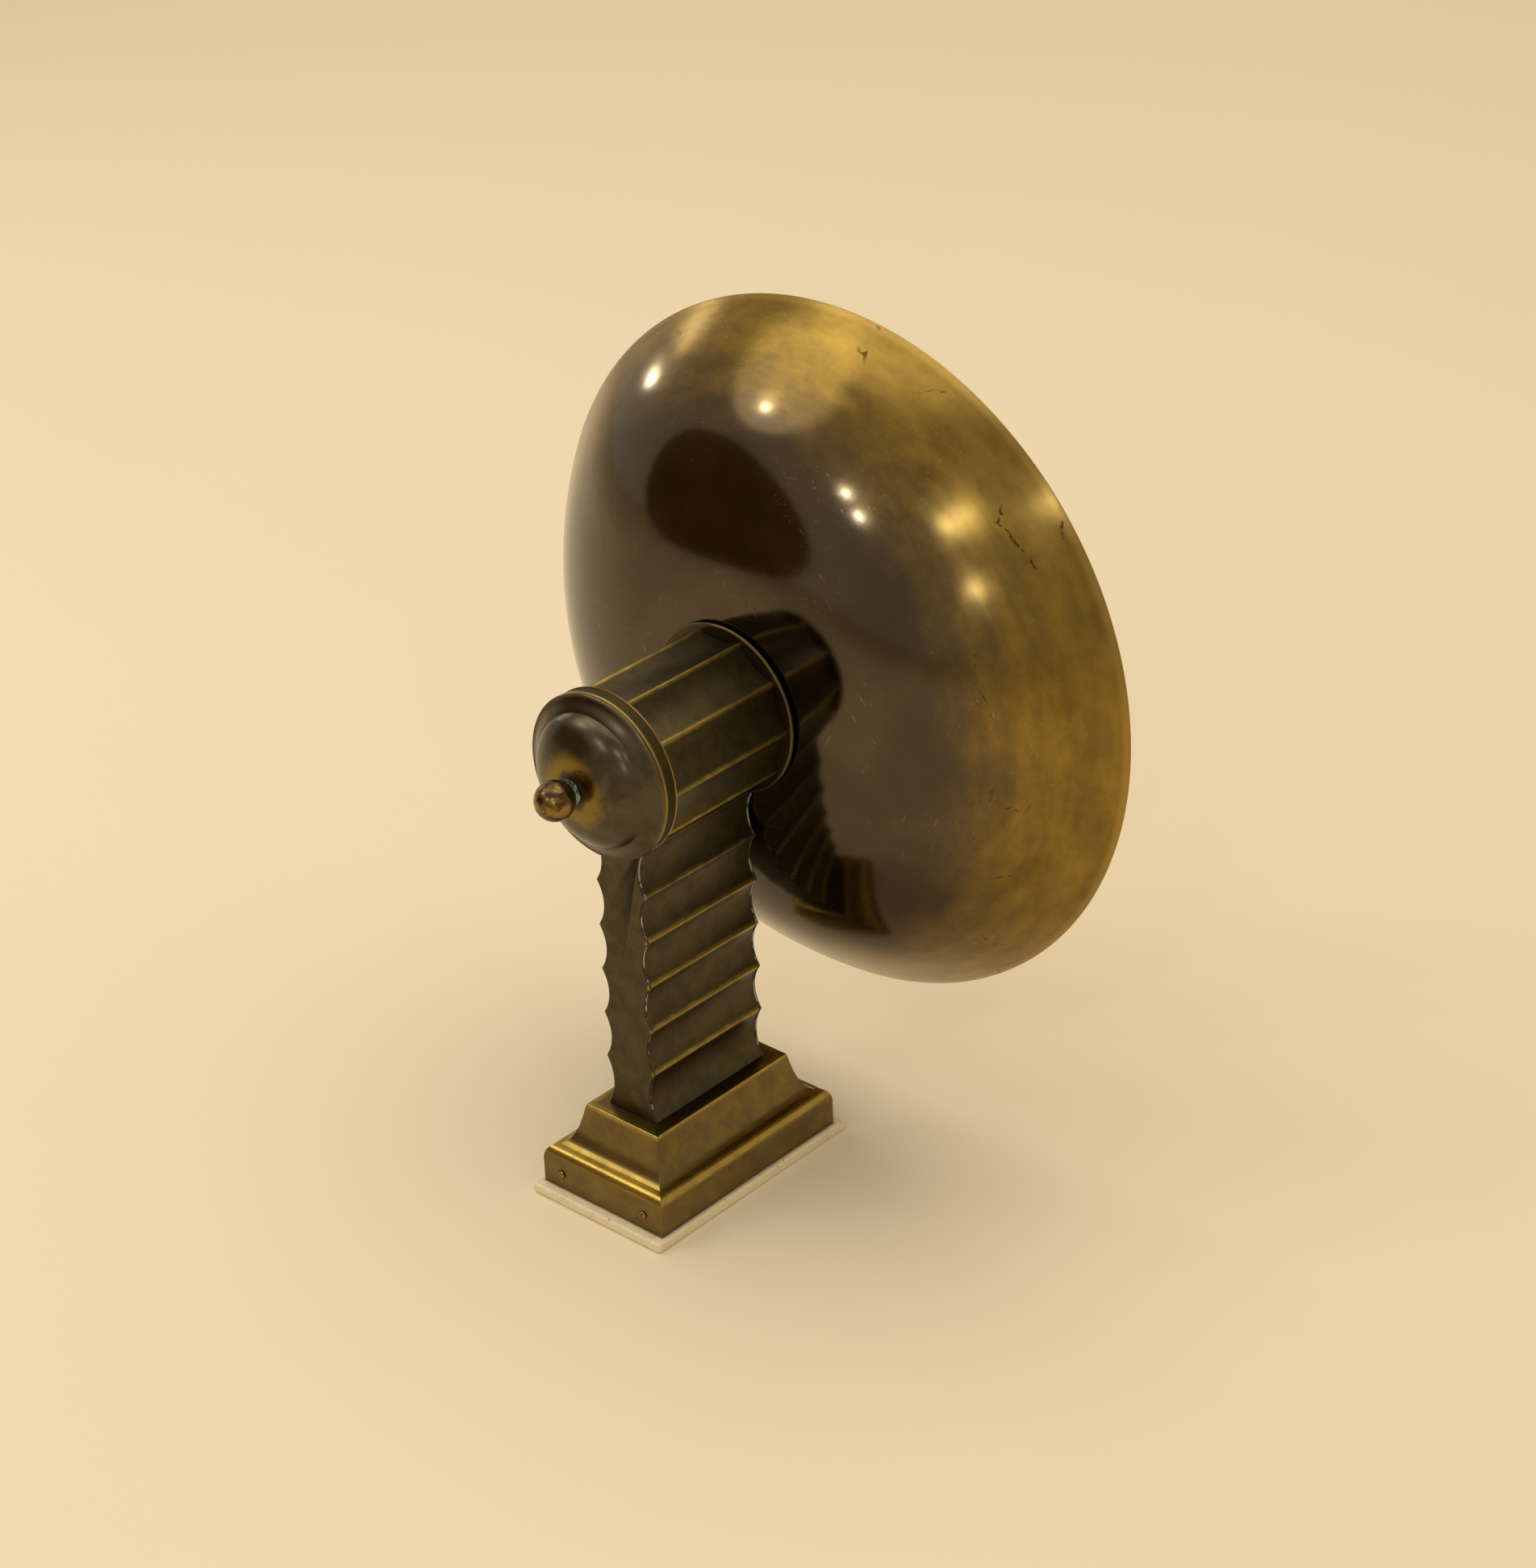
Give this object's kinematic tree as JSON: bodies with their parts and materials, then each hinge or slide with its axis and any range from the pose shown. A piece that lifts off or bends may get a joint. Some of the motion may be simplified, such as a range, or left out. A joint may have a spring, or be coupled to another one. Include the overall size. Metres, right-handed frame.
{
  "type": "wall uplighter lamp",
  "caption": "Wall lamp with a wide spun dish on a fluted barrel, a fluted column, an ogee plinth on a wooden board, and a domed cap with a ball finial.",
  "frame": {"origin": "centre of the wooden board's underside, the face that lies against the wall", "axes": "+Z away from the wall along the column, +Y along the barrel towards the dish's mouth, +X across"},
  "size_m": [0.416, 0.2384, 0.485],
  "materials": {
    "board_paint": "cream paint, worn at the edges",
    "rubbed_brass": "aged brass, rubbed bright on its edges",
    "dark_brass": "dark olive-brown patina",
    "dish_bronze": "glossy bronze patina, worn golden towards the rim",
    "plain_brass": "plain turned brass",
    "steel": "zinc-plated steel",
    "porcelain": "glazed porcelain",
    "rubber": "black rubber",
    "insulation_brown": "braided insulation",
    "insulation_blue": "braided insulation",
    "pearl_glass": "pearl glass",
    "black_glass": "black glass",
    "tungsten": "tungsten wire"
  },
  "bodies": {
    "frame": {"wooden_backboard": "board_paint", "plinth_cover": "rubbed_brass", "cover_screw_1": "rubbed_brass", "cover_screw_2": "rubbed_brass", "cover_screw_3": "rubbed_brass", "cover_screw_4": "rubbed_brass", "column_panel_right": "dark_brass", "column_panel_left": "dark_brass", "column_plate_front": "dark_brass", "column_plate_rear": "dark_brass", "barrel_shell": "dark_brass", "barrel_rear_band": "dark_brass", "flange_plate": "dark_brass", "dish": "dish_bronze", "dish_clamp_ring": "plain_brass", "dish_screw_1": "plain_brass", "dish_screw_2": "plain_brass", "dish_screw_3": "plain_brass", "dish_screw_4": "plain_brass", "barrel_bridge": "plain_brass", "lampholder_shell": "plain_brass", "centre_contact": "plain_brass", "holder_terminal_left": "plain_brass", "holder_terminal_right": "plain_brass", "block_screw_a": "plain_brass", "block_screw_b": "plain_brass", "wall_bracket": "steel", "bracket_screw_1": "steel", "bracket_screw_2": "steel", "bracket_screw_3": "steel", "bracket_screw_4": "steel", "plinth_clamp_plate": "steel", "centre_tube": "steel", "tube_nut_lower": "steel", "tube_nut_upper": "steel", "tube_washer": "steel", "tie_rod": "steel", "rod_nut_front": "steel", "rod_nut_rear": "steel", "dish_nut_1": "steel", "dish_nut_2": "steel", "dish_nut_3": "steel", "dish_nut_4": "steel", "lampholder_bracket": "steel", "lampholder_nipple": "steel", "nipple_nut": "steel", "terminal_block": "porcelain", "lampholder_body": "porcelain", "wire_bush": "rubber", "wire_live": "insulation_brown", "wire_neutral": "insulation_blue"},
    "cap": {"rear_cap": "dark_brass", "cap_collar": "dark_brass"},
    "finial": {"finial": "dark_brass"},
    "bulb": {"bulb_glass": "pearl_glass", "bulb_cap": "plain_brass", "bulb_insulator": "black_glass", "bulb_contact": "steel", "bulb_stem": "pearl_glass", "bulb_filament": "tungsten"}
  },
  "joints": [
    {"name": "cap_slide", "type": "slide", "parent": "frame", "child": "cap", "axis": [0, -1, 0], "range_m": [0, 0.01]},
    {"name": "finial_turn", "type": "hinge", "parent": "cap", "child": "finial", "pos_m": [0, -0.0905, 0.277], "axis": [0, -1, 0], "range_deg": [0, 3600]},
    {"name": "bulb_slide", "type": "slide", "parent": "frame", "child": "bulb", "axis": [0, 1, 0], "range_m": [0, 0.03]}
  ],
  "couplings": [
    {"joint": "finial_turn", "follows": "cap_slide", "rad_per_m": 6283.2}
  ]
}
